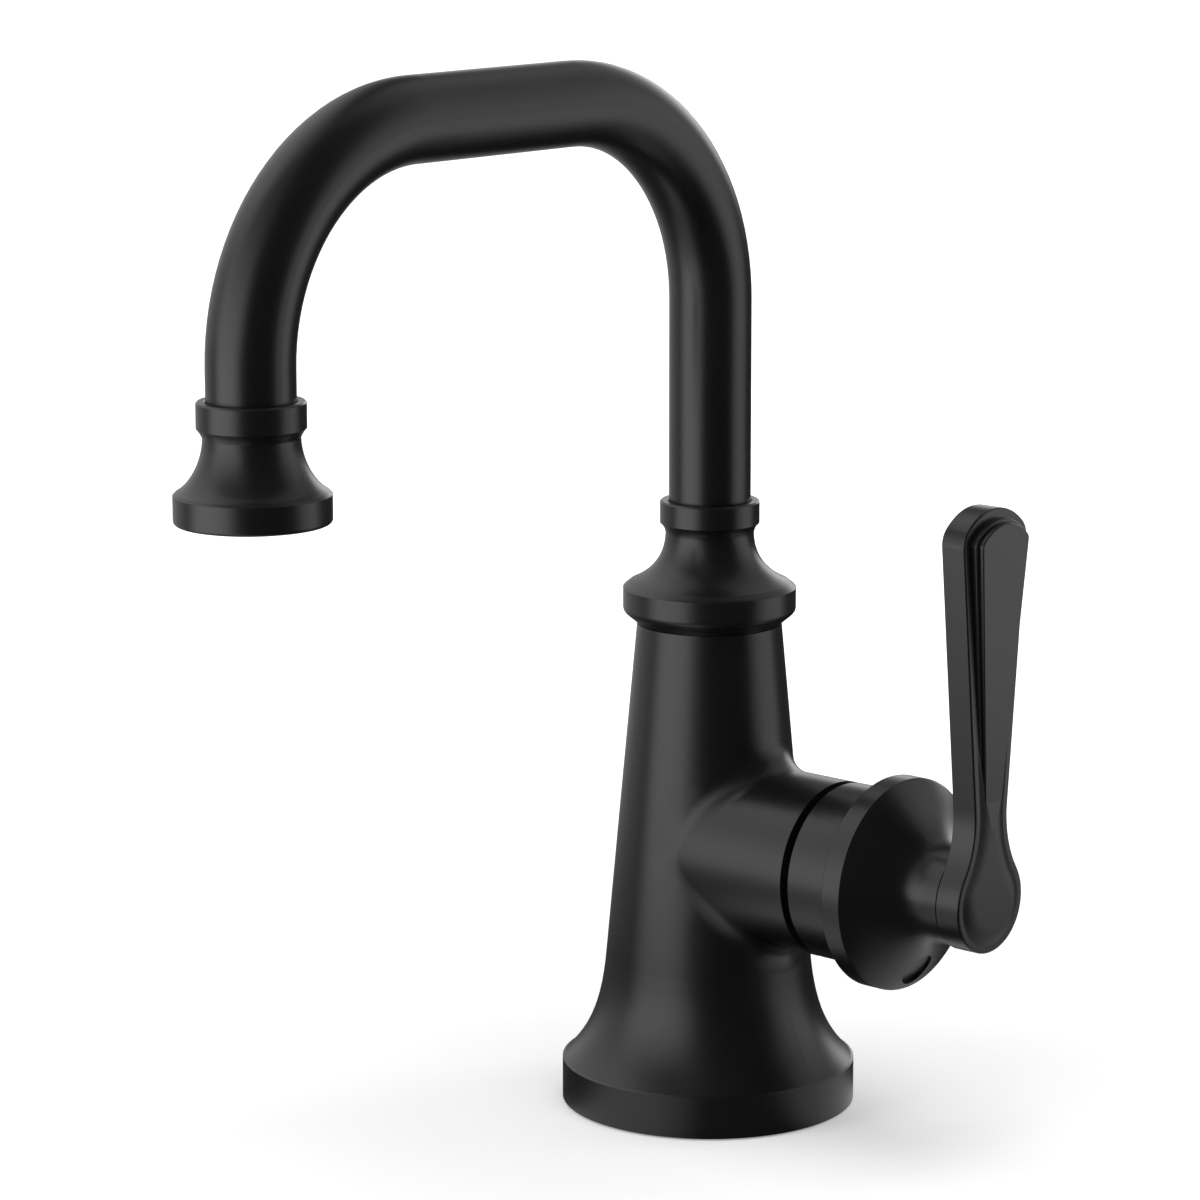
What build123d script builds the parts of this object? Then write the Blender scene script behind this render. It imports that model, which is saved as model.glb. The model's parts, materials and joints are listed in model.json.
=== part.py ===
"""Single lever bathroom faucet with a high round spout and a side handle. Millimetres, +Z up.

The origin is the middle of the base on the deck. The spout reaches towards -Y and the handle
stands out towards +X.
"""
import os
from math import cos, pi, radians, sin, sqrt

from build123d import *

os.makedirs("parts", exist_ok=True)

# Clearances and fits
slip = 0.05             # running or sliding fit, radial
free = 0.3              # clear space between faces that move past each other
seat = 0.05             # easy assembly fit inside one rigid group
trim_edge = 0.3         # small broken edge on the trim pieces

# Body column
base_r = 28.85
base_band_h = 8.2
base_edge = 0.5         # small step above the band
base_foot_edge = 0.15   # broken edge where the base meets the deck
flare_top_r = 20.2
flare_top_z = 29.2
flare_pull_low = 7.6    # reach of the flare curve's two control points
flare_pull_high = 9.0
column_top_r = 14.1
column_top_z = 95.9
base_wall = 5.85
flare_wall = 2.7
cavity_r = base_r - base_wall
cavity_wall_h = 7.0
cavity_top_r = flare_top_r - flare_wall
cavity_h = 24.0
gasket_w = 2.6
gasket_r_in = base_r - (base_wall + gasket_w) / 2
gasket_r_out = gasket_r_in + gasket_w
gasket_t = 1.6

# Supply and fixing sockets under the body
inlet_x = 3.5
inlet_y = 6.0
inlet_thread_r = 3.5    # tapped M8 x 1
inlet_thread_len = 12.0
inlet_bore_r = 2.5
stud_x = -9.5
stud_thread_r = 3.4     # tapped M8
stud_thread_len = 16.0
riser_x = -3.0
riser_r = 4.0

# Side boss and the handle axis
handle_z = 52.0
boss_r = 17.05
boss_end_x = 32.6
boss_blend = 5.5
socket_floor_x = 9.0
nut_bore_deep = 6.6

# Ports of the cartridge, measured from the handle axis
inlet_port_y = 4.6
inlet_port_up = 2.4
inlet_port_r = 1.8
outlet_port_down = 3.6
outlet_port_r = 2.2
seal_land = 0.3         # port edge to seal
seal_w = 0.8
seal_t = 1.6

# Cartridge along the handle axis
cartridge_r = 12.5      # 25 mm ceramic cartridge
cartridge_wall = 2.1
housing_bore_r = cartridge_r - cartridge_wall
base_x = socket_floor_x + free
base_t = 2.7
disc_x = base_x + base_t
disc_t = 3.0
fixed_disc_r = housing_bore_r - 4 * seat
holder_x = disc_x + 2 * disc_t + slip
sleeve_len = 23.0
housing_end_x = disc_x + sleeve_len
head_len = 4.5
head_end_x = housing_end_x + head_len
head_r = 10.2
head_wall = 1.6
head_bore_r = head_r - head_wall
head_t = 1.0
carrier_shoulder_x = housing_end_x - head_t - free
carrier_end_x = head_end_x - 4 * seat
carrier_slot_z = 12.4

# Stem and its pin
pivot_in = 1.5          # pivot behind the end of the cartridge
pivot_x = head_end_x - pivot_in
pivot_arm = 10.6        # pivot to the middle of the rounded stem foot
flow_travel_deg = 20.0  # tilt of the handle from shut to full flow
pin_r = 1.25
pin_len = 16.0
stem_w = 7.0
stem_thin = 4.4
stem_foot_r = 2.5

# Moving disc and its holder
moving_disc_r = 8.2
moving_disc_drop = pivot_arm * sin(radians(flow_travel_deg)) / 2
chamber_wall = 1.2
chamber_r = moving_disc_r - chamber_wall
chamber_top = 2.1
chamber_depth = 1.6
holder_lip = 0.8        # holder beyond the middle of the stem foot
holder_slot_deep = 4.7
holder_end_x = pivot_x - pivot_arm + holder_lip
holder_slot_x = holder_end_x - holder_slot_deep
carrier_x = holder_end_x + free + 2 * seat

# Nut and bonnet
nut_wall = 1.7
nut_r = cartridge_r + nut_wall
nut_lip_r = head_r + 4 * seat
nut_lip_t = 2.0
nut_rim = 2.3
nut_well_r = nut_r - nut_rim
nut_well_deep = 5.0
nut_bore_x = boss_end_x - nut_bore_deep
nut_end_x = housing_end_x + nut_lip_t + nut_well_deep
nut_slot_w = 3.0
nut_slot_deep = 2.0
bonnet_gap = 1.6
bonnet_x = boss_end_x + bonnet_gap
bonnet_lip_t = 1.8
bonnet_end_x = nut_end_x + bonnet_lip_t
bonnet_lip_r = head_r + 2 * free

# Handle hub, turned about the handle axis, placed from its rim
rim_gap = 1.45
rim_x = bonnet_end_x + rim_gap
rim_t = 4.6
rim_r = 20.4
hub_mid_len = 7.15      # two points of the bell shape, and the start of the straight neck
hub_mid_r = 16.3
hub_low_len = 10.75
hub_low_r = 11.5
hub_len = 18.95
neck_r = 9.5
neck_len = 2.7
hub_mid_x = rim_x + hub_mid_len
hub_low_x = rim_x + hub_low_len
lever_x = rim_x + hub_len
neck_x = lever_x - neck_len
hub_skirt_room = 1.15   # round the bonnet
hub_skirt_deep = 1.55
hub_floor_deep = 4.15
hub_floor_in = 2.15
hub_skirt_r = boss_r + hub_skirt_room
hub_skirt_x = rim_x + hub_skirt_deep
hub_floor_x = rim_x + hub_floor_deep
hub_floor_r = boss_r - hub_floor_in
stem_socket_deep = 8.1
stem_socket_x = hub_floor_x + stem_socket_deep
plug_r = 3.6
plug_t = 1.1
plug_recess = 0.8
set_screw_in = 1.3
set_screw_x = hub_mid_x - set_screw_in
set_screw_r = 1.5
set_screw_len = 6.0
hex_depth = 2.0

# Lever
lever_t = 5.3
lever_end_r = 9.75
waist_up = 18.0         # narrowest point above the handle axis
waist_half = 4.92
lever_flare = 0.0903    # growth of the half width per millimetre of height
waist_blend = 20.0
crown_up = 74.8         # top of the lever above the handle axis
crown_r = 11.8
crown_corner = 4.0
lever_front_edge = 0.4
low_step = (1.85, 22.0, 0.03)       # inset, start above the axis and slope of the lower step
high_step = (2.55, 8.0, 0.0405)     # the same of the face panel
step_edge = 0.25
step_root = 1.0         # depth of a step inside the blade at the crown
pear_rim = 1.4
pear_rise = 0.7
pear_slope_w = 2.2      # width of the sloping edge round the pear, and its rounding
pear_round = 7.5
pear_full_up = 14.0     # the pear's face fades out between these heights
pear_end_up = 30.0
spigot_w = 8.0
spigot_len = 5.0
spigot_x = lever_x - spigot_len
lever_screw_r = 1.5
lever_screw_head_r = 3.2
lever_screw_head_t = 1.6
lever_screw_bite = 2.3
lever_screw_end_x = lever_x + lever_screw_bite
stem_end_x = stem_socket_x - lever_screw_head_t - free - 2 * seat

# Spout tube
tube_r = 15.875 / 2     # 5/8 inch tube
tube_wall = 1.2
bend_r = 40.0
reach = 121.15          # middle of the body to the middle of the outlet
top_z = 199.3

# Bush and foot of the spout, counted down from the top of the column
bush_len = 10.4
bush_z = column_top_z - bush_len
bush_wall = 1.56
bush_r = tube_r + slip + bush_wall
bush_flange_in = 1.7
bush_flange_r = column_top_r - bush_flange_in
bush_flange_t = 1.0
foot_gap = 1.5
tube_start_z = bush_z - foot_gap
foot_flange_r = tube_r - seat
foot_flange_h = 4.5
neck_bore_z = tube_start_z - foot_flange_h - free
neck_bore_r = foot_flange_r + free
seat_bore_len = 11.0
seat_bore_z = neck_bore_z - seat_bore_len
foot_step = 0.7
seat_bore_r = foot_flange_r - foot_step
foot_bore_r = 4.2
foot_plug_len = 8.0     # part of the foot inside the tube
foot_top_z = tube_start_z + foot_plug_len
oring_section_r = 0.78
oring_groove_w = 1.9
oring_z = (seat_bore_z + seat_bore_len / 3, seat_bore_z + seat_bore_len * 2 / 3)
groove_w = 2.4
groove_deep = 1.3
groove_z = tube_start_z - foot_flange_h / 2
groove_r = foot_flange_r - groove_deep
grub_r = 2.0
grub_tip_r = 0.9
grub_shoulder_y = neck_bore_r + free
grub_len = 6.0

# Spout hub: big collar, bell and small ring
collar_gap = 0.2
collar_out = 2.73       # past the top of the column
collar_foot_out = 0.1
collar_foot_h = 3.0
collar_h = 3.9
collar_z = column_top_z + collar_gap
collar_r = column_top_r + collar_out
collar_foot_r = column_top_r + collar_foot_out
collar_low_z = collar_z + collar_foot_h
collar_top_z = collar_low_z + collar_h
bell_in = 1.15          # edge of the bell inside the collar
bell_step = 1.0
bell_wall = 0.66
bell_h = 9.6
bell_start = (collar_r - bell_in, collar_top_z + bell_step)
bell_end = (tube_r + bell_wall, bell_start[1] + bell_h)
small_ring_out = 1.73
small_ring_r = tube_r + small_ring_out
cove_h = 2.1            # cove between a bell and its ring
small_ring_z = bell_end[1] + cove_h
small_ring_h = 4.4
small_ring_top_z = small_ring_z + small_ring_h

# Outlet, counted down from the middle of the tube's level run
outlet_drop = 67.15
outlet_bottom_z = top_z - outlet_drop
outlet_ring_r = 13.93
outlet_ring_h = 5.05
outlet_step = 0.5       # step from the ring to the flare
outlet_edge = 0.7
outlet_ring_top_z = outlet_bottom_z + outlet_ring_h
outlet_flare_end = (outlet_ring_r - outlet_step, outlet_ring_top_z + outlet_step)
aerator_bore_r = 9.35
aerator_bore_deep = 8.35
ledge_t = 1.1
tube_grip = 12.0
aerator_bore_z = outlet_bottom_z + aerator_bore_deep
tube_end_z = aerator_bore_z + ledge_t
outlet_top_z = tube_end_z + tube_grip
outlet_collar_out = 1.72
outlet_collar_h = 4.7
outlet_cove_h = 1.7
outlet_collar_r = tube_r + outlet_collar_out
outlet_collar_z = outlet_top_z - outlet_collar_h
outlet_neck = (tube_r + bell_wall, outlet_collar_z - outlet_cove_h)

# Aerator
aerator_in = 0.6        # inside the outlet's lower edge
aerator_wall = 1.35
aerator_lip_w = 0.95
aerator_lip_t = 0.4
aerator_r = aerator_bore_r - seat
aerator_z = outlet_bottom_z + aerator_in
aerator_in_r = aerator_r - aerator_wall
aerator_lip_r = aerator_in_r - aerator_lip_w
grille_t = 1.2
washer_t = 1.4
washer_z = aerator_bore_z - washer_t
washer_inset = 0.8
jet_r = 0.8
jet_pitch = 2.4

handle_axis = Axis((0, 0, handle_z), (1, 0, 0))
outlet_axis = Axis((0, -reach, 0), (0, 0, 1))
outlet_side = Plane(origin=(0, -reach, 0), x_dir=(1, 0, 0), z_dir=(0, -1, 0))


def facing_x(x):
    """Sketch plane across the handle axis at x, its own x along +Y and its own y up."""
    return Plane(origin=(x, 0, handle_z), x_dir=(0, 1, 0), z_dir=(1, 0, 0))


def facing_y(y, x, z):
    """Sketch plane that looks along +Y at the given point, its own y up."""
    return Plane(origin=(x, y, z), x_dir=(-1, 0, 0), z_dir=(0, 1, 0))


def level(z, x=0.0, y=0.0):
    """Level sketch plane at z, centred on x and y."""
    return Plane(origin=(x, y, z), x_dir=(1, 0, 0), z_dir=(0, 0, 1))


def between(start, end, share_r, share_z):
    """Point between two profile points, by its share of the way out and of the way up."""
    return (start[0] + share_r * (end[0] - start[0]), start[1] + share_z * (end[1] - start[1]))


def ring(plane, r_out, r_in, length):
    """Plain ring or disc that starts on the plane and runs along its normal."""
    with BuildPart() as piece:
        with BuildSketch(plane):
            Circle(r_out)
            if r_in:
                Circle(r_in, mode=Mode.SUBTRACT)
        extrude(amount=length)
    return piece.part


def keep(piece, name):
    """Label a finished piece and write it out."""
    piece.label = name
    export_step(piece, f"parts/{name}.step")


# Cartridge ports: height above the axis, side and radius
ports = (
    (-inlet_port_y, inlet_port_up, inlet_port_r),
    (inlet_port_y, inlet_port_up, inlet_port_r),
    (0.0, -outlet_port_down, outlet_port_r),
)


# Body shell: base, column and side boss in one casting, with its waterways
column_slope = (flare_top_r - column_top_r) / (column_top_z - flare_top_z)
flare_start = (base_r - base_edge, base_band_h + base_edge / 2)
with BuildPart() as body_shell:
    with BuildSketch(Plane.XZ):
        with BuildLine():
            Polyline((0, 0), (base_r - base_foot_edge, 0), (base_r, base_foot_edge),
                     (base_r, base_band_h), flare_start)
            Bezier(flare_start,
                   (flare_start[0] - flare_pull_low * sin(pi / 4),
                    flare_start[1] + flare_pull_low * cos(pi / 4)),
                   (flare_top_r + flare_pull_high * column_slope, flare_top_z - flare_pull_high),
                   (flare_top_r, flare_top_z))
            Polyline((flare_top_r, flare_top_z), (column_top_r, column_top_z),
                     (0, column_top_z), (0, 0))
        make_face()
    revolve(axis=Axis.Z)
    with BuildSketch(facing_x(0)):
        Circle(boss_r)
    extrude(amount=boss_end_x)
    fillet(body_shell.edges().filter_by(GeomType.BSPLINE), boss_blend)
    # hollow under the base
    with BuildSketch(Plane.XZ):
        Polygon((0, 0), (cavity_r, 0), (cavity_r, cavity_wall_h), (cavity_top_r, cavity_h),
                (0, cavity_h), align=None)
    revolve(axis=Axis.Z, mode=Mode.SUBTRACT)
    with BuildSketch(Plane.XY):
        Circle(gasket_r_out)
        Circle(gasket_r_in, mode=Mode.SUBTRACT)
    extrude(amount=gasket_t, mode=Mode.SUBTRACT)
    # cartridge socket and the wider bore of its nut
    with BuildSketch(facing_x(socket_floor_x)):
        Circle(cartridge_r + 3 * seat)
    extrude(amount=boss_end_x - socket_floor_x, mode=Mode.SUBTRACT)
    with BuildSketch(facing_x(nut_bore_x)):
        Circle(nut_r + 2 * seat)
    extrude(amount=boss_end_x - nut_bore_x, mode=Mode.SUBTRACT)
    # supply sockets and their ways to the cartridge
    for side in (-1, 1):
        with BuildSketch(level(cavity_h, inlet_x, side * inlet_y)):
            Circle(inlet_thread_r)
        extrude(amount=inlet_thread_len, mode=Mode.SUBTRACT)
        with BuildSketch(level(cavity_h, inlet_x, side * inlet_y)):
            Circle(inlet_bore_r)
        extrude(amount=handle_z + inlet_port_up + inlet_port_r - cavity_h, mode=Mode.SUBTRACT)
        with BuildSketch(Plane(origin=(inlet_x, side * inlet_port_y, handle_z + inlet_port_up),
                               x_dir=(0, 1, 0), z_dir=(1, 0, 0))):
            Circle(inlet_port_r)
        extrude(amount=socket_floor_x - inlet_x, mode=Mode.SUBTRACT)
    # mixed water: back from the cartridge and up to the spout
    with BuildSketch(Plane(origin=(riser_x, 0, handle_z - outlet_port_down),
                           x_dir=(0, 1, 0), z_dir=(1, 0, 0))):
        Circle(outlet_port_r)
    extrude(amount=socket_floor_x - riser_x, mode=Mode.SUBTRACT)
    riser_z = handle_z - outlet_port_down - outlet_port_r
    with BuildSketch(level(riser_z, riser_x)):
        Circle(riser_r)
    extrude(amount=seat_bore_z - riser_z, mode=Mode.SUBTRACT)
    # stepped bore for the spout
    for z0, z1, r in ((seat_bore_z, neck_bore_z, seat_bore_r), (neck_bore_z, bush_z, neck_bore_r),
                      (bush_z, column_top_z, bush_r + seat)):
        with BuildSketch(level(z0)):
            Circle(r)
        extrude(amount=z1 - z0, mode=Mode.SUBTRACT)
    # socket of the fixing stud, and the hole of the spout screw
    with BuildSketch(level(cavity_h, stud_x)):
        Circle(stud_thread_r)
    extrude(amount=stud_thread_len, mode=Mode.SUBTRACT)
    with BuildSketch(facing_y(0, 0, groove_z)):
        Circle(grub_r + seat)
    extrude(amount=flare_top_r, mode=Mode.SUBTRACT)
keep(body_shell.part, "body_shell")


# Base gasket
keep(ring(level(0), gasket_r_out - 2 * seat, gasket_r_in + 2 * seat, gasket_t), "base_gasket")


# Cartridge seals: one rubber ring round each port
with BuildPart() as cartridge_seals:
    for y, up, r in ports:
        with BuildSketch(facing_x(socket_floor_x)):
            with Locations((y, up)):
                Circle(r + seal_land + seal_w)
                Circle(r + seal_land, mode=Mode.SUBTRACT)
        extrude(amount=seal_t)
keep(cartridge_seals.part, "cartridge_seals")


# Cartridge base with its ports and the pockets of the seals
with BuildPart() as cartridge_base:
    with BuildSketch(facing_x(base_x)):
        Circle(cartridge_r)
        for y, up, r in ports:
            with Locations((y, up)):
                Circle(r, mode=Mode.SUBTRACT)
    extrude(amount=disc_x - base_x)
    with BuildSketch(facing_x(base_x)):
        for y, up, r in ports:
            with Locations((y, up)):
                Circle(r + seal_land + seal_w + seat)
    extrude(amount=socket_floor_x + seal_t - base_x, mode=Mode.SUBTRACT)
keep(cartridge_base.part, "cartridge_base")


# Fixed ceramic disc
with BuildPart() as fixed_disc:
    with BuildSketch(facing_x(disc_x)):
        Circle(fixed_disc_r)
        for y, up, r in ports:
            with Locations((y, up)):
                Circle(r, mode=Mode.SUBTRACT)
    extrude(amount=disc_t)
keep(fixed_disc.part, "fixed_disc")


# Moving ceramic disc, drawn shut, with its mixing pocket
with BuildPart() as moving_disc:
    with BuildSketch(facing_x(disc_x + disc_t + slip)):
        with Locations((0, -moving_disc_drop)):
            Circle(moving_disc_r)
    extrude(amount=disc_t)
    with BuildSketch(facing_x(disc_x + disc_t + slip)):
        with Locations((0, -moving_disc_drop)):
            Circle(chamber_r)
        with Locations((0, chamber_top - moving_disc_drop)):
            Rectangle(2 * chamber_r, chamber_r, align=(Align.CENTER, Align.MIN),
                      mode=Mode.SUBTRACT)
    extrude(amount=chamber_depth, mode=Mode.SUBTRACT)
keep(moving_disc.part, "moving_disc")


# Disc holder with the slot of the stem foot
with BuildPart() as disc_holder:
    with BuildSketch(facing_x(holder_x)):
        with Locations((0, -moving_disc_drop)):
            Circle(moving_disc_r)
    extrude(amount=holder_end_x - holder_x)
    with BuildSketch(facing_x(holder_slot_x)):
        Rectangle(stem_w + 2 * free, 2 * (stem_foot_r + free))
    extrude(amount=holder_end_x - holder_slot_x, mode=Mode.SUBTRACT)
keep(disc_holder.part, "disc_holder")


# Cartridge housing: sleeve and head
with BuildPart() as cartridge_housing:
    with BuildSketch(facing_x(disc_x)):
        Circle(cartridge_r)
    extrude(amount=housing_end_x - disc_x)
    with BuildSketch(facing_x(housing_end_x)):
        Circle(head_r)
    extrude(amount=head_end_x - housing_end_x)
    with BuildSketch(facing_x(disc_x)):
        Circle(housing_bore_r)
    extrude(amount=carrier_shoulder_x + free - disc_x, mode=Mode.SUBTRACT)
    with BuildSketch(facing_x(disc_x)):
        Circle(head_bore_r)
    extrude(amount=head_end_x - disc_x, mode=Mode.SUBTRACT)
keep(cartridge_housing.part, "cartridge_housing")


# Stem carrier: turns with the handle and holds the pivot pin
with BuildPart() as stem_carrier:
    with BuildSketch(facing_x(carrier_x)):
        Circle(housing_bore_r - free)
    extrude(amount=carrier_shoulder_x - carrier_x)
    with BuildSketch(facing_x(carrier_shoulder_x)):
        Circle(head_bore_r - free)
    extrude(amount=carrier_end_x - carrier_shoulder_x)
    with BuildSketch(facing_x(carrier_x)):
        Rectangle(stem_w + 2 * free, carrier_slot_z)
    extrude(amount=carrier_end_x - carrier_x, mode=Mode.SUBTRACT)
    with BuildSketch(facing_y(0, pivot_x, handle_z)):
        Circle(pin_r + seat / 2)
    extrude(amount=housing_bore_r, both=True, mode=Mode.SUBTRACT)
keep(stem_carrier.part, "stem_carrier")


# Stem pin
keep(ring(facing_y(-pin_len / 2, pivot_x, handle_z), pin_r, 0, pin_len), "stem_pin")


# Stem: square outer end, round pivot, thin shank and rounded foot
with BuildPart() as stem:
    with BuildSketch(facing_x(pivot_x)):
        Rectangle(stem_w, stem_w)
    extrude(amount=stem_end_x - pivot_x)
    with BuildSketch(facing_x(pivot_x - pivot_arm)):
        Rectangle(stem_w, stem_thin)
    extrude(amount=pivot_arm)
    for x, r in ((pivot_x, stem_w / 2), (pivot_x - pivot_arm, stem_foot_r)):
        with BuildSketch(facing_y(0, x, handle_z)):
            Circle(r)
        extrude(amount=stem_w / 2, both=True)
    with BuildSketch(facing_y(0, pivot_x, handle_z)):
        Circle(pin_r + slip)
    extrude(amount=stem_w, both=True, mode=Mode.SUBTRACT)
keep(stem.part, "stem")


# Cartridge nut with its wrench slots
with BuildPart() as cartridge_nut:
    with BuildSketch(facing_x(nut_bore_x + free)):
        Circle(nut_r)
        Circle(nut_lip_r, mode=Mode.SUBTRACT)
    extrude(amount=nut_end_x - nut_bore_x - free)
    with BuildSketch(facing_x(nut_bore_x + free)):
        Circle(cartridge_r + 2 * seat)
    extrude(amount=housing_end_x - nut_bore_x - free, mode=Mode.SUBTRACT)
    with BuildSketch(facing_x(housing_end_x + nut_lip_t)):
        Circle(nut_well_r)
    extrude(amount=nut_end_x - housing_end_x - nut_lip_t, mode=Mode.SUBTRACT)
    with BuildSketch(facing_x(nut_end_x - nut_slot_deep)):
        Rectangle(2 * nut_r, nut_slot_w)
        Rectangle(nut_slot_w, 2 * nut_r)
    extrude(amount=nut_slot_deep, mode=Mode.SUBTRACT)
keep(cartridge_nut.part, "cartridge_nut")


# Bonnet: black ring over the nut
with BuildPart() as bonnet:
    with BuildSketch(facing_x(bonnet_x)):
        Circle(boss_r)
    extrude(amount=bonnet_end_x - bonnet_x)
    chamfer(bonnet.edges().filter_by(GeomType.CIRCLE), trim_edge)
    with BuildSketch(facing_x(bonnet_x)):
        Circle(nut_r + seat)
    extrude(amount=nut_end_x - bonnet_x, mode=Mode.SUBTRACT)
    with BuildSketch(facing_x(nut_end_x)):
        Circle(bonnet_lip_r)
    extrude(amount=bonnet_end_x - nut_end_x, mode=Mode.SUBTRACT)
keep(bonnet.part, "bonnet")


# Plane of the button recess, square to the hub's face below the axis
recess_slope = Vector(hub_low_x - rim_x - rim_t, hub_low_r - rim_r + trim_edge).normalized()
recess_plane = Plane(origin=(hub_mid_x, 0, handle_z - hub_mid_r), x_dir=(0, 1, 0),
                     z_dir=(-recess_slope.Y, 0, -recess_slope.X))


def on_hub(x, r):
    """Profile point of the hub at x, r away from the handle axis."""
    return (x, handle_z + r)


# Handle hub: rim, bell and neck
with BuildPart() as handle_hub:
    with BuildSketch(Plane.XZ):
        with BuildLine():
            Polyline(on_hub(rim_x, 0), on_hub(rim_x, rim_r - trim_edge),
                     on_hub(rim_x + trim_edge, rim_r), on_hub(rim_x + rim_t - trim_edge, rim_r),
                     on_hub(rim_x + rim_t, rim_r - trim_edge))
            Spline(on_hub(rim_x + rim_t, rim_r - trim_edge), on_hub(hub_mid_x, hub_mid_r),
                   on_hub(hub_low_x, hub_low_r), on_hub(neck_x, neck_r),
                   tangents=((0.6, -0.8), (1, 0)))
            Polyline(on_hub(neck_x, neck_r), on_hub(lever_x - trim_edge, neck_r),
                     on_hub(lever_x, neck_r - trim_edge), on_hub(lever_x, 0), on_hub(rim_x, 0))
        make_face()
    revolve(axis=handle_axis)
    # room for the bonnet as the hub tilts
    with BuildSketch(Plane.XZ):
        Polygon(on_hub(rim_x, 0), on_hub(rim_x, hub_skirt_r), on_hub(hub_skirt_x, hub_skirt_r),
                on_hub(hub_floor_x, hub_floor_r), on_hub(hub_floor_x, 0), align=None)
    revolve(axis=handle_axis, mode=Mode.SUBTRACT)
    # square sockets of the stem and the lever, and the screw hole between them
    with BuildSketch(facing_x(hub_floor_x)):
        Rectangle(stem_w + 2 * seat, stem_w + 2 * seat)
    extrude(amount=stem_socket_x - hub_floor_x, mode=Mode.SUBTRACT)
    with BuildSketch(facing_x(spigot_x)):
        Rectangle(spigot_w + 2 * seat, spigot_w + 2 * seat)
    extrude(amount=lever_x - spigot_x, mode=Mode.SUBTRACT)
    with BuildSketch(facing_x(stem_socket_x)):
        Circle(lever_screw_r + 2 * seat)
    extrude(amount=spigot_x - stem_socket_x, mode=Mode.SUBTRACT)
    # recess of the button, and the bore of the set screw behind it
    with BuildSketch(recess_plane.offset(-plug_recess - plug_t)):
        Circle(plug_r + seat)
    extrude(amount=rim_t, mode=Mode.SUBTRACT)
    with BuildSketch(level(handle_z - hub_mid_r - plug_recess, set_screw_x)):
        Circle(set_screw_r + seat)
    extrude(amount=hub_mid_r + plug_recess, mode=Mode.SUBTRACT)
keep(handle_hub.part, "handle_hub")


# Set screw with its hexagon socket
with BuildPart() as set_screw:
    with BuildSketch(level(handle_z - stem_w / 2 - set_screw_len, set_screw_x)):
        Circle(set_screw_r)
    extrude(amount=set_screw_len)
    with BuildSketch(level(handle_z - stem_w / 2 - set_screw_len, set_screw_x)):
        RegularPolygon(set_screw_r / 2, 6)
    extrude(amount=hex_depth, mode=Mode.SUBTRACT)
keep(set_screw.part, "set_screw")


# Button in the recess
keep(ring(recess_plane.offset(-plug_recess - plug_t), plug_r, 0, plug_t), "plug_button")


def lever_outline(plane, inset):
    """Pear shaped outline of the lever on the plane, drawn in by the inset."""
    side = waist_half - lever_flare * waist_up
    middle = crown_up - crown_r
    a = 1 + lever_flare ** 2
    b = lever_flare * side - middle
    c = side ** 2 + middle ** 2 - crown_r ** 2
    corner_up = (-b + sqrt(b * b - a * c)) / a
    corner = side + lever_flare * corner_up
    foot_up = lever_end_r / 2
    foot = side + lever_flare * foot_up
    with BuildSketch(plane) as face:
        with BuildLine():
            Polyline((-corner, corner_up), (-foot, foot_up), (foot, foot_up), (corner, corner_up))
            ThreePointArc((corner, corner_up), (0, crown_up), (-corner, corner_up))
        make_face()
        fillet(face.vertices().group_by(Axis.Y)[-1], crown_corner)
        Circle(lever_end_r)
        inner = [v for v in face.vertices() if v.Y < waist_up and abs(v.X) > foot / 2]
        fillet(inner, waist_blend)
        if inset:
            offset(amount=-inset)
    return face.sketch


def raised_step(inset, start_up, slope):
    """Step on the lever's face that rises towards the crown, with a rounded upper edge."""
    plane = Plane(origin=(lever_face_x - slope * start_up, 0, handle_z), x_dir=(0, 1, 0),
                  z_dir=(1, 0, -slope))
    with BuildPart() as step:
        extrude(lever_outline(plane, inset), amount=-slope * crown_up - step_root)
        top = step.faces().sort_by(Axis(plane.origin, plane.z_dir))[-1]
        fillet(top.edges(), step_edge)
    return step.part


# Lever: blade, pear shaped cushion at its foot, two raised steps and a square spigot
lever_face_x = lever_x + lever_t
with BuildPart() as cushion:
    extrude(lever_outline(facing_x(lever_face_x - step_root), pear_rim),
            amount=step_root + pear_rise)
    front = cushion.faces().sort_by(Axis.X)[-1]
    chamfer(front.edges(), pear_slope_w, pear_rise, reference=front)
    fillet(cushion.faces().sort_by(Axis.X)[-1].edges(), pear_round)
    with BuildSketch(Plane.XZ):
        Polygon(on_hub(lever_face_x - step_root, -lever_end_r),
                on_hub(lever_face_x + pear_rise, -lever_end_r),
                on_hub(lever_face_x + pear_rise, pear_full_up),
                on_hub(lever_face_x, pear_end_up),
                on_hub(lever_face_x - step_root, pear_end_up), align=None)
    extrude(amount=lever_end_r, both=True, mode=Mode.INTERSECT)
with BuildPart() as lever:
    extrude(lever_outline(facing_x(lever_x), 0), amount=lever_t)
    fillet(lever.faces().sort_by(Axis.X)[-1].edges(), lever_front_edge)
    chamfer(lever.faces().sort_by(Axis.X)[0].edges(), trim_edge / 2)
    add(cushion.part)
    add(raised_step(*low_step))
    add(raised_step(*high_step))
    with BuildSketch(facing_x(spigot_x + seat)):
        Rectangle(spigot_w, spigot_w)
    extrude(amount=lever_x + 2 * seat - spigot_x)
    with BuildSketch(facing_x(spigot_x)):
        Circle(lever_screw_r + seat)
    extrude(amount=lever_screw_end_x - spigot_x + seat, mode=Mode.SUBTRACT)
keep(lever.part, "lever")


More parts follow.
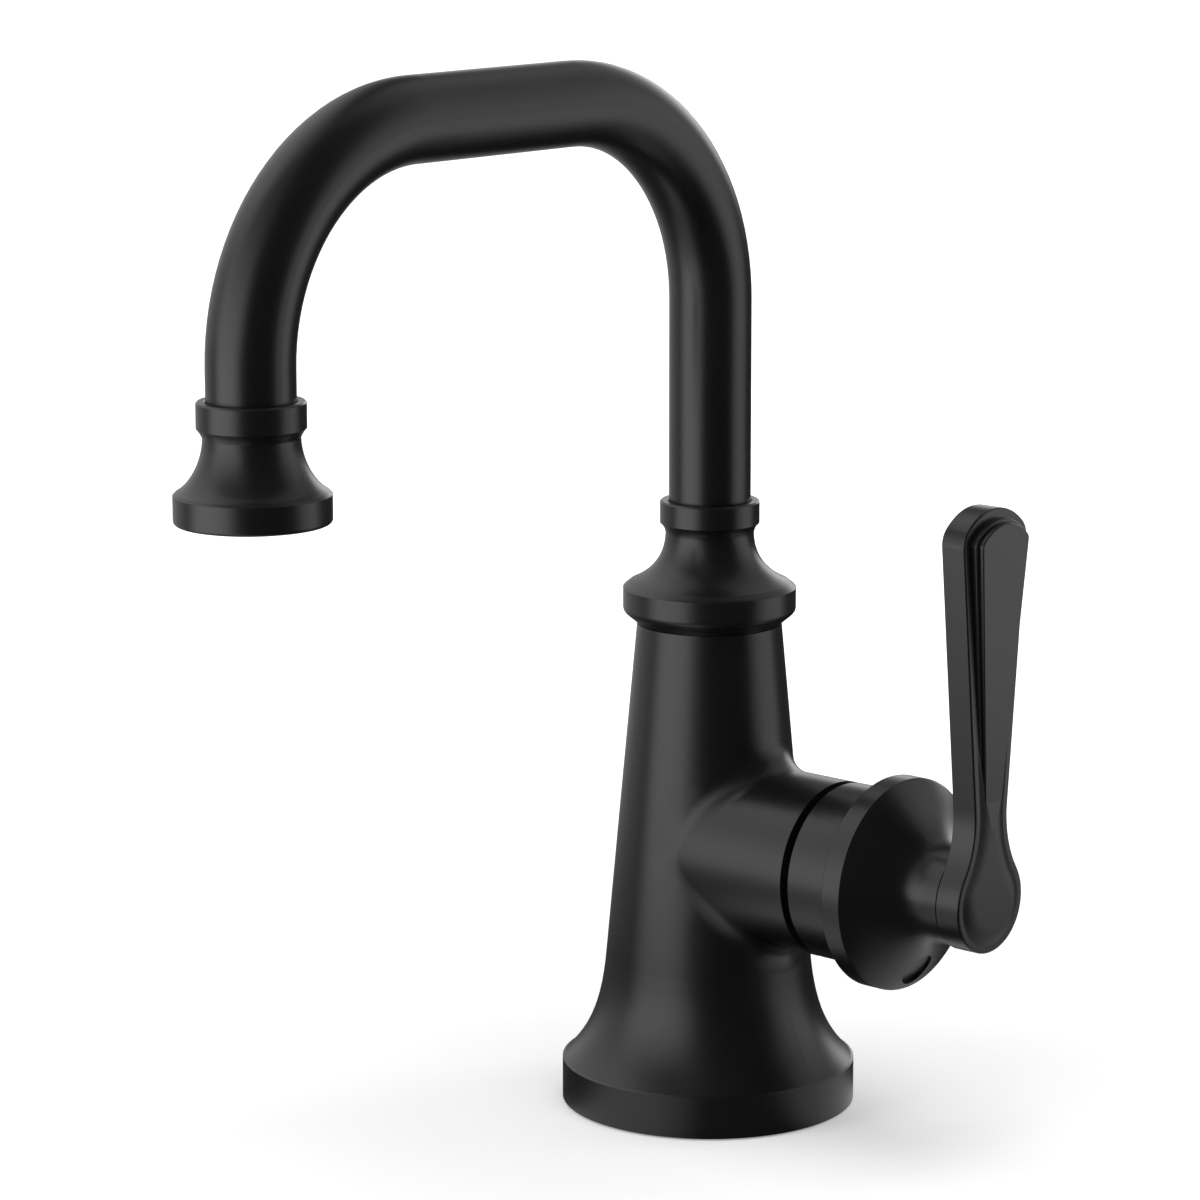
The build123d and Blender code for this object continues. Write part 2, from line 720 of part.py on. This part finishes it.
# Lever screw
with BuildPart() as lever_screw:
    with BuildSketch(facing_x(stem_socket_x - lever_screw_head_t)):
        Circle(lever_screw_head_r)
    extrude(amount=lever_screw_head_t)
    with BuildSketch(facing_x(stem_socket_x)):
        Circle(lever_screw_r)
    extrude(amount=lever_screw_end_x - stem_socket_x)
    with BuildSketch(facing_x(stem_socket_x - lever_screw_head_t)):
        RegularPolygon(lever_screw_r, 6)
    extrude(amount=lever_screw_head_t / 2, mode=Mode.SUBTRACT)
keep(lever_screw.part, "lever_screw")


# Spout bush: flanged bearing of the tube
with BuildPart() as spout_bush:
    with BuildSketch(level(bush_z)):
        Circle(bush_r)
    extrude(amount=column_top_z - bush_z)
    with BuildSketch(level(column_top_z)):
        Circle(bush_flange_r)
    extrude(amount=bush_flange_t)
    with BuildSketch(level(bush_z)):
        Circle(tube_r + slip)
    extrude(amount=column_top_z + bush_flange_t - bush_z, mode=Mode.SUBTRACT)
keep(spout_bush.part, "spout_bush")


# Spout screw: grub screw whose thin tip rides in the groove of the foot
with BuildPart() as spout_screw:
    with BuildSketch(facing_y(grub_shoulder_y, 0, groove_z)):
        Circle(grub_r)
    extrude(amount=grub_len)
    with BuildSketch(facing_y(groove_r + free, 0, groove_z)):
        Circle(grub_tip_r)
    extrude(amount=grub_shoulder_y - groove_r - free)
    with BuildSketch(facing_y(grub_shoulder_y + grub_len - hex_depth, 0, groove_z)):
        RegularPolygon(grub_r / 2, 6)
    extrude(amount=hex_depth, mode=Mode.SUBTRACT)
keep(spout_screw.part, "spout_screw")


# Spout foot: brass plug in the tube, with its ring grooves and the groove of the screw
foot_r = seat_bore_r - free
oring_floor_r = seat_bore_r - slip - 2 * oring_section_r - seat
with BuildPart() as spout_foot:
    for z0, z1, r in ((seat_bore_z + free, tube_start_z - foot_flange_h, foot_r),
                      (tube_start_z - foot_flange_h, tube_start_z, foot_flange_r),
                      (tube_start_z, foot_top_z, tube_r - tube_wall - seat)):
        with BuildSketch(level(z0)):
            Circle(r)
        extrude(amount=z1 - z0)
    for z, width, r in ((oring_z[0], oring_groove_w, oring_floor_r),
                        (oring_z[1], oring_groove_w, oring_floor_r), (groove_z, groove_w, groove_r)):
        with BuildSketch(level(z - width / 2)):
            Circle(foot_flange_r + free)
            Circle(r, mode=Mode.SUBTRACT)
        extrude(amount=width, mode=Mode.SUBTRACT)
    with BuildSketch(level(seat_bore_z)):
        Circle(foot_bore_r)
    extrude(amount=foot_top_z - seat_bore_z, mode=Mode.SUBTRACT)
keep(spout_foot.part, "spout_foot")


# Spout rings: two rubber rings on the foot
with BuildPart() as spout_orings:
    for z in oring_z:
        with BuildSketch(Plane.XZ):
            with Locations((seat_bore_r - slip - oring_section_r, z)):
                Circle(oring_section_r)
        revolve(axis=Axis.Z)
keep(spout_orings.part, "spout_orings")


# Spout tube
with BuildPart() as spout_tube:
    with BuildLine(Plane.YZ):
        FilletPolyline((0, tube_start_z), (0, top_z), (-reach, top_z), (-reach, tube_end_z),
                       radius=bend_r)
    with BuildSketch(level(tube_start_z)):
        Circle(tube_r)
        Circle(tube_r - tube_wall, mode=Mode.SUBTRACT)
    sweep()
keep(spout_tube.part, "spout_tube")


# Spout hub
collar_foot = (collar_foot_r, collar_z)
collar_low = (collar_r, collar_low_z)
small_ring_foot = (small_ring_r, small_ring_z)
hub_bore_r = tube_r + seat
washer_room_r = bush_flange_r + free
washer_top_z = column_top_z + bush_flange_t + slip
with BuildPart() as spout_hub:
    with BuildSketch(Plane.XZ):
        with BuildLine():
            Polyline((washer_room_r, collar_z), collar_foot)
            Bezier(collar_foot, between(collar_foot, collar_low, 0.5, 0.5),
                   between(collar_foot, collar_low, 1.0, 0.6), collar_low)
            Polyline(collar_low, (collar_r, collar_top_z),
                     (collar_r - trim_edge, collar_top_z + trim_edge), bell_start)
            Bezier(bell_start, between(bell_start, bell_end, 0.61, 0.2),
                   between(bell_start, bell_end, 0.98, 0.51), bell_end)
            ThreePointArc(bell_end, between(bell_end, small_ring_foot, 0.33, 0.6),
                          small_ring_foot)
            Polyline(small_ring_foot, (small_ring_r, small_ring_top_z - trim_edge),
                     (small_ring_r - trim_edge, small_ring_top_z),
                     (hub_bore_r + trim_edge, small_ring_top_z),
                     (hub_bore_r, small_ring_top_z - trim_edge), (hub_bore_r, washer_top_z),
                     (washer_room_r, washer_top_z), (washer_room_r, collar_z))
        make_face()
    revolve(axis=Axis.Z)
keep(spout_hub.part, "spout_hub")


# Outlet bell
outlet_collar_foot = (outlet_collar_r, outlet_collar_z)
with BuildPart() as outlet_bell:
    with BuildSketch(outlet_side):
        with BuildLine():
            Polyline((hub_bore_r, outlet_top_z - trim_edge), (hub_bore_r + trim_edge, outlet_top_z),
                     (outlet_collar_r - trim_edge, outlet_top_z),
                     (outlet_collar_r, outlet_top_z - trim_edge), outlet_collar_foot)
            ThreePointArc(outlet_collar_foot, between(outlet_neck, outlet_collar_foot, 0.5, 0.6),
                          outlet_neck)
            Bezier(outlet_neck, between(outlet_neck, outlet_flare_end, 0.02, 0.44),
                   between(outlet_neck, outlet_flare_end, 0.48, 0.85), outlet_flare_end)
            Polyline(outlet_flare_end, (outlet_ring_r, outlet_ring_top_z),
                     (outlet_ring_r, outlet_bottom_z + outlet_edge))
            RadiusArc((outlet_ring_r, outlet_bottom_z + outlet_edge),
                      (outlet_ring_r - outlet_edge, outlet_bottom_z), outlet_edge)
            Polyline((outlet_ring_r - outlet_edge, outlet_bottom_z),
                     (aerator_bore_r + outlet_edge, outlet_bottom_z),
                     (aerator_bore_r, outlet_bottom_z + outlet_edge),
                     (aerator_bore_r, aerator_bore_z), (tube_r - tube_wall, aerator_bore_z),
                     (tube_r - tube_wall, tube_end_z), (hub_bore_r, tube_end_z),
                     (hub_bore_r, outlet_top_z - trim_edge))
        make_face()
    revolve(axis=outlet_axis)
keep(outlet_bell.part, "outlet_bell")


def jet_disc(z0, z1, r_out, rows):
    """Disc at the outlet, pierced by rings of small holes."""
    with BuildPart() as disc:
        with BuildSketch(level(z0, 0, -reach)):
            Circle(r_out)
            Circle(jet_r, mode=Mode.SUBTRACT)
            for row in range(1, rows + 1):
                with PolarLocations(row * jet_pitch, 6 * row):
                    Circle(jet_r, mode=Mode.SUBTRACT)
        extrude(amount=z1 - z0)
    return disc.part


# Aerator, from the washer down to the grille
regulator_r = aerator_in_r - washer_inset
keep(ring(level(washer_z, 0, -reach), aerator_r - seat, regulator_r, washer_t), "aerator_washer")
keep(jet_disc(washer_z, aerator_bore_z - 2 * seat, regulator_r - seat, 2), "flow_regulator")
with BuildPart() as aerator_housing:
    with BuildSketch(level(aerator_z, 0, -reach)):
        Circle(aerator_r)
        Circle(aerator_lip_r, mode=Mode.SUBTRACT)
    extrude(amount=washer_z - aerator_z)
    with BuildSketch(level(aerator_z + aerator_lip_t, 0, -reach)):
        Circle(aerator_in_r)
    extrude(amount=washer_z - aerator_z - aerator_lip_t, mode=Mode.SUBTRACT)
keep(aerator_housing.part, "aerator_housing")
grille_z = aerator_z + aerator_lip_t
keep(jet_disc(grille_z, grille_z + grille_t, aerator_in_r - seat, 2), "aerator_grille")
keep(jet_disc(grille_z + grille_t, washer_z, aerator_in_r - seat, 3), "aerator_insert")
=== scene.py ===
"""Matte black bathroom faucet, dressed for a studio photograph. Metres, +Z up."""
import json
from math import cos, radians, sin

import bmesh
import bpy
from mathutils import Matrix, Vector

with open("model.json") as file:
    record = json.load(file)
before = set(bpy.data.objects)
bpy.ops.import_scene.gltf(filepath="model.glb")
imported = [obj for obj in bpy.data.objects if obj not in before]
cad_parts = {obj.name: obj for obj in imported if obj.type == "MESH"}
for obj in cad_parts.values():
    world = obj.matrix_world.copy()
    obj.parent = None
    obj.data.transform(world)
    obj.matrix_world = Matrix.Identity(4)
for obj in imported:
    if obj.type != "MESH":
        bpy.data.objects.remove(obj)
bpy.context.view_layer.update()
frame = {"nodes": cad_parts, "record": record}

MM = 0.001
STREAKS_MM = 18


def linear(colour):
    """Linear RGBA of an sRGB hex colour."""
    def channel(i):
        c = int(colour[i:i + 2], 16) / 255
        return c / 12.92 if c <= 0.04045 else ((c + 0.055) / 1.055) ** 2.4
    return (channel(1), channel(3), channel(5), 1)


def node(tree, kind, settings=None, **links):
    """Adds a node with its settings. A link names a socket, or _ and its number, and gives
    the output that feeds it or its value."""
    made = tree.nodes.new(kind)
    for name, value in (settings or {}).items():
        setattr(made, name, value)
    for name, value in links.items():
        number = name[1:].isdigit()
        socket = made.inputs[int(name[1:]) if number else name.replace("_", " ")]
        if isinstance(value, bpy.types.NodeSocket):
            tree.links.new(value, socket)
        else:
            socket.default_value = value
    return made


def between(tree, value, start, end, first=0.0, last=1.0, **settings):
    """Runs from first to last while the value goes from start to end."""
    return node(tree, "ShaderNodeMapRange", settings, _0=value, _1=start, _2=end, _3=first,
                _4=last).outputs[0]


def maths(tree, operation, *values):
    """Number that the operation gives."""
    return node(tree, "ShaderNodeMath", {"operation": operation},
                **{f"_{i}": value for i, value in enumerate(values)}).outputs[0]


def vectors(tree, operation, *values):
    """Number or vector that the operation gives."""
    made = node(tree, "ShaderNodeVectorMath", {"operation": operation},
                **{f"_{i}": value for i, value in enumerate(values)})
    numeric = operation in ("DOT_PRODUCT", "LENGTH")
    return made.outputs["Value" if numeric else "Vector"]


def white_light(tree, kind, strength):
    """White light of the strength, from an emission or a background."""
    return node(tree, kind, Color=(1, 1, 1, 1), Strength=strength).outputs[0]


def either(tree, share, first, second):
    """The first shader where the share is 0 and the second where it is 1."""
    return node(tree, "ShaderNodeMixShader", _0=share, _1=first, _2=second).outputs[0]


def toward_bearing(bearing):
    """Level direction of the bearing in degrees: 0 towards the spout, 90 towards the handle."""
    return (sin(radians(bearing)), -cos(radians(bearing)), 0)


def finish(name, dark, light, roughness, spread, grain_mm, relief_mm, metallic=0.0):
    """A finish whose tone, roughness and fine relief vary over the surface."""
    made = bpy.data.materials.new(name)
    made.use_nodes = True
    tree = made.node_tree
    shader = tree.nodes["Principled BSDF"]
    place = node(tree, "ShaderNodeTexCoord").outputs["Object"]
    cloud = node(tree, "ShaderNodeTexNoise", Vector=place, Scale=1 / (STREAKS_MM * MM),
                 Detail=3.0)
    grain = node(tree, "ShaderNodeTexNoise", Vector=place, Scale=1 / (grain_mm * MM), Detail=4.0)
    tint = node(tree, "ShaderNodeMix", {"data_type": "RGBA"}, _0=cloud.outputs["Fac"],
                _6=linear(dark), _7=linear(light))
    rough = between(tree, grain.outputs["Fac"], 0.0, 1.0, roughness - spread, roughness + spread)
    relief = node(tree, "ShaderNodeBump", Strength=0.5, Distance=relief_mm * MM,
                  Height=grain.outputs["Fac"])
    tree.links.new(tint.outputs[2], shader.inputs["Base Color"])
    tree.links.new(rough, shader.inputs["Roughness"])
    tree.links.new(relief.outputs[0], shader.inputs["Normal"])
    shader.inputs["Metallic"].default_value = metallic
    return made


# Finishes, each named for the real one except the nut's, which is named for its painted shade,
# with what it gives the eye
finishes = {
    # satin black powder coat over brass and zinc: near black, soft streaks, a fine even grain
    "black_coat": finish("satin_black_powder_coat", "#0C0D0D", "#121413", 0.3, 0.03, 0.5, 0.01),
    # machined brass: warm yellow, fairly bright
    "brass": finish("machined_brass", "#B08D4F", "#C9A765", 0.3, 0.05, 0.4, 0.01, 1.0),
    # painted shade: the brass nut, glimpsed in the groove of the boss, is coloured black and dull
    # so that the groove reads dark
    "nut_in_painted_shade": finish("brass_nut_painted_dark", "#0C0C0C", "#131313", 0.5, 0.05, 0.4, 0.01),
    # machined stainless steel: neutral grey, fairly bright
    "steel": finish("machined_stainless_steel", "#8E8F90", "#A9AAAB", 0.28, 0.05, 0.4, 0.01, 1.0),
    # moulded nitrile rubber: black and dull
    "rubber": finish("moulded_nitrile_rubber", "#141414", "#1D1D1D", 0.6, 0.08, 0.4, 0.02),
    # moulded acetal: off-white, half matt
    "plastic": finish("moulded_acetal", "#D2D0C8", "#DDDBD4", 0.45, 0.06, 0.6, 0.01),
    # moulded dark plastic of the button: slightly lighter and duller than the coat
    "plug_plastic": finish("moulded_dark_plastic", "#252727", "#2C2E2E", 0.42, 0.05, 0.4, 0.01),
    # lapped alumina: white and smooth
    "ceramic": finish("lapped_alumina", "#E4E1D8", "#EFEDE6", 0.18, 0.04, 0.5, 0.004),
}
slots = {s["node"]: s["material_slot"] for s in frame["record"]["subparts"]}
# painted shade: the cartridge nut takes a near-black finish in place of its own slot, so the
# groove of the boss reads dark
slots["cartridge_nut"] = "nut_in_painted_shade"
for name, piece in frame["nodes"].items():
    piece.data.materials.clear()
    piece.data.materials.append(finishes[slots[name]])


# Soft boxes round the object, seen only in what its surfaces mirror: bearing in degrees, half
# width, soft edge and brightness. Some are on the far floor, some by the base, some on the walls
on_floor = ((-15, 10, 28, 2.3), (-100, 33, 20, 0.5), (130, 5, 26, 1.2))
by_base = ((1, 6, 33, 0.68), (114, 8, 30, 0.6))
low_walls = ((-12, 8, 38, 2.0), (-85, 32, 26, 0.7), (138, 4, 28, 1.0), (180, 20, 20, 0.15))
high_walls = ((-84, 10, 45, 1.15), (-22, 20, 50, 0.4), (172, 20, 30, 0.5))
# Brightness where no box is
ambient = 0.05


def studio(tree, place, boxes):
    """Brightness of the soft boxes in the direction of the place, seen from above."""
    aim = vectors(tree, "NORMALIZE", vectors(tree, "MULTIPLY", place, (1, 1, 0)))
    total = ambient
    for bearing, half, edge, level in boxes:
        facing = vectors(tree, "DOT_PRODUCT", aim, toward_bearing(bearing))
        box = between(tree, facing, cos(radians(half + edge)), cos(radians(half)), 0.0, level,
                      interpolation_type="SMOOTHSTEP")
        total = maths(tree, "ADD", box, total)
    return total


# Pale floor: matt, white to the eye away from the object, and it keeps the object's shadow.
# A span is the two distances from the middle, in metres, between which the level changes
floor_half_width = 8.0
floor_drop = 0.3 * MM
glow_span, dim_glow = (0.06, 0.5), 0.3
far_span, dim_far = (0.1, 0.42), 0.05
near_span = (0.06, 0.2)
floor_paint = bpy.data.materials.new("pale_matt_floor")
floor_paint.use_nodes = True
tree = floor_paint.node_tree
tree.nodes.clear()
place = node(tree, "ShaderNodeTexCoord").outputs["Object"]
distance = vectors(tree, "LENGTH", place)
ray = node(tree, "ShaderNodeLightPath")
matt = node(tree, "ShaderNodeBsdfDiffuse", Color=linear("#E6E6E6")).outputs[0]
glow = white_light(tree, "ShaderNodeEmission", between(tree, distance, *glow_span, dim_glow, 1.0))
seen = node(tree, "ShaderNodeAddShader", _0=matt, _1=glow).outputs[0]
far = maths(tree, "MULTIPLY", studio(tree, place, on_floor),
            between(tree, distance, *far_span, dim_far, 1.0))
near = studio(tree, place, by_base)
mirrored = maths(tree, "MULTIPLY_ADD", between(tree, distance, *near_span, 1.0, 0.0), near, far)
shine = white_light(tree, "ShaderNodeEmission", mirrored)
lit = either(tree, ray.outputs["Is Camera Ray"], matt, seen)
node(tree, "ShaderNodeOutputMaterial",
     Surface=either(tree, ray.outputs["Is Glossy Ray"], lit, shine))

sheet = bmesh.new()
bmesh.ops.create_grid(sheet, x_segments=1, y_segments=1, size=floor_half_width)
bmesh.ops.translate(sheet, verts=sheet.verts, vec=(0, 0, -floor_drop))
floor_mesh = bpy.data.meshes.new("floor")
sheet.to_mesh(floor_mesh)
sheet.free()
floor_mesh.materials.append(floor_paint)
floor = bpy.data.objects.new("floor", floor_mesh)
bpy.context.scene.collection.objects.link(floor)

# World: white where it is seen, the studio where it is mirrored, and a plain soft fill.
# A span is two heights of the direction, 0 at the horizon and 1 overhead. The bright backdrop
# stands behind the object, and its own width is given as two cosines
fill_level = 0.35
backdrop_bearing, backdrop_level = -160, 2.2
backdrop_edges = (0.85, 0.96)
backdrop_foot, backdrop_top = (0.0, 0.12), (0.2, 0.5)
walls_span = (0.2, 0.75)
ceiling_span, dim_ceiling = (0.8, 1.0), 0.45
world = bpy.data.worlds.new("studio")
bpy.context.scene.world = world
world.use_nodes = True
tree = world.node_tree
tree.nodes.clear()
ray = node(tree, "ShaderNodeLightPath")
fill = white_light(tree, "ShaderNodeBackground", fill_level)
toward = node(tree, "ShaderNodeTexCoord").outputs["Generated"]
height = node(tree, "ShaderNodeSeparateXYZ", _0=toward).outputs[2]
behind = vectors(tree, "DOT_PRODUCT", toward, toward_bearing(backdrop_bearing))
backdrop = between(tree, behind, *backdrop_edges, 0.0, backdrop_level)
backdrop_band = maths(tree, "MULTIPLY", between(tree, height, *backdrop_foot),
                      between(tree, height, *backdrop_top, 1.0, 0.0))
boxes = node(tree, "ShaderNodeMix", {"data_type": "FLOAT"}, _0=between(tree, height, *walls_span),
             _2=studio(tree, toward, low_walls), _3=studio(tree, toward, high_walls)).outputs[0]
around = maths(tree, "MULTIPLY_ADD", backdrop, backdrop_band, boxes)
level = maths(tree, "MULTIPLY", around, between(tree, height, *ceiling_span, 1.0, dim_ceiling))
walls = white_light(tree, "ShaderNodeBackground", level)
white = white_light(tree, "ShaderNodeBackground", 1.0)
direct = maths(tree, "MAXIMUM", ray.outputs["Is Camera Ray"], ray.outputs["Is Transmission Ray"])
part_seen = either(tree, ray.outputs["Is Glossy Ray"], fill, walls)
node(tree, "ShaderNodeOutputWorld", Surface=either(tree, direct, part_seen, white))


lamps_aim = Vector((0.0, -0.04, 0.1))


def lamp(name, bearing, height, away, size, power):
    """Lamp at a bearing and height, turned to the middle of the object. No surface mirrors it."""
    light = bpy.data.lights.new(name, "AREA")
    light.shape = "RECTANGLE"
    light.size, light.size_y = size
    light.energy = power
    made = bpy.data.objects.new(name, light)
    bpy.context.scene.collection.objects.link(made)
    made.visible_glossy = False
    made.location = away * Vector(toward_bearing(bearing)) + Vector((0, 0, height))
    made.rotation_euler = (lamps_aim - made.location).to_track_quat("-Z", "Y").to_euler()


lamp("soft_left", -20, 0.45, 0.9, (0.5, 0.8), 3.0)
lamp("soft_right", 145, 0.45, 0.9, (0.4, 0.8), 2.5)
lamp("soft_top", 60, 1.2, 0.2, (0.9, 0.9), 7.0)

# Camera at the photograph's place and angle: how far from the column's axis it stands, how high,
# the bearings of its stand and of its look, its dip and its roll in degrees
camera_away, camera_height = 0.86288, 0.27485
stand, look, dip, tilt = radians(40.881), radians(42.295), radians(11.442), radians(0.093)
camera_data = bpy.data.cameras.new("camera")
camera = bpy.data.objects.new("camera", camera_data)
bpy.context.scene.collection.objects.link(camera)
bpy.context.scene.camera = camera
camera_data.sensor_width = 36.0
camera_data.lens = 135.73
camera_data.clip_start, camera_data.clip_end = 0.05, 30
camera.location = (camera_away * sin(stand), -camera_away * cos(stand), camera_height)
forward = Vector((-sin(look) * cos(dip), cos(look) * cos(dip), -sin(dip)))
roll = Matrix.Rotation(tilt, 4, forward)
camera.rotation_mode = "QUATERNION"
aimed = roll @ forward.to_track_quat("-Z", "Y").to_matrix().to_4x4()
camera.rotation_quaternion = aimed.to_quaternion()
bpy.context.scene.view_settings.view_transform = "Standard"
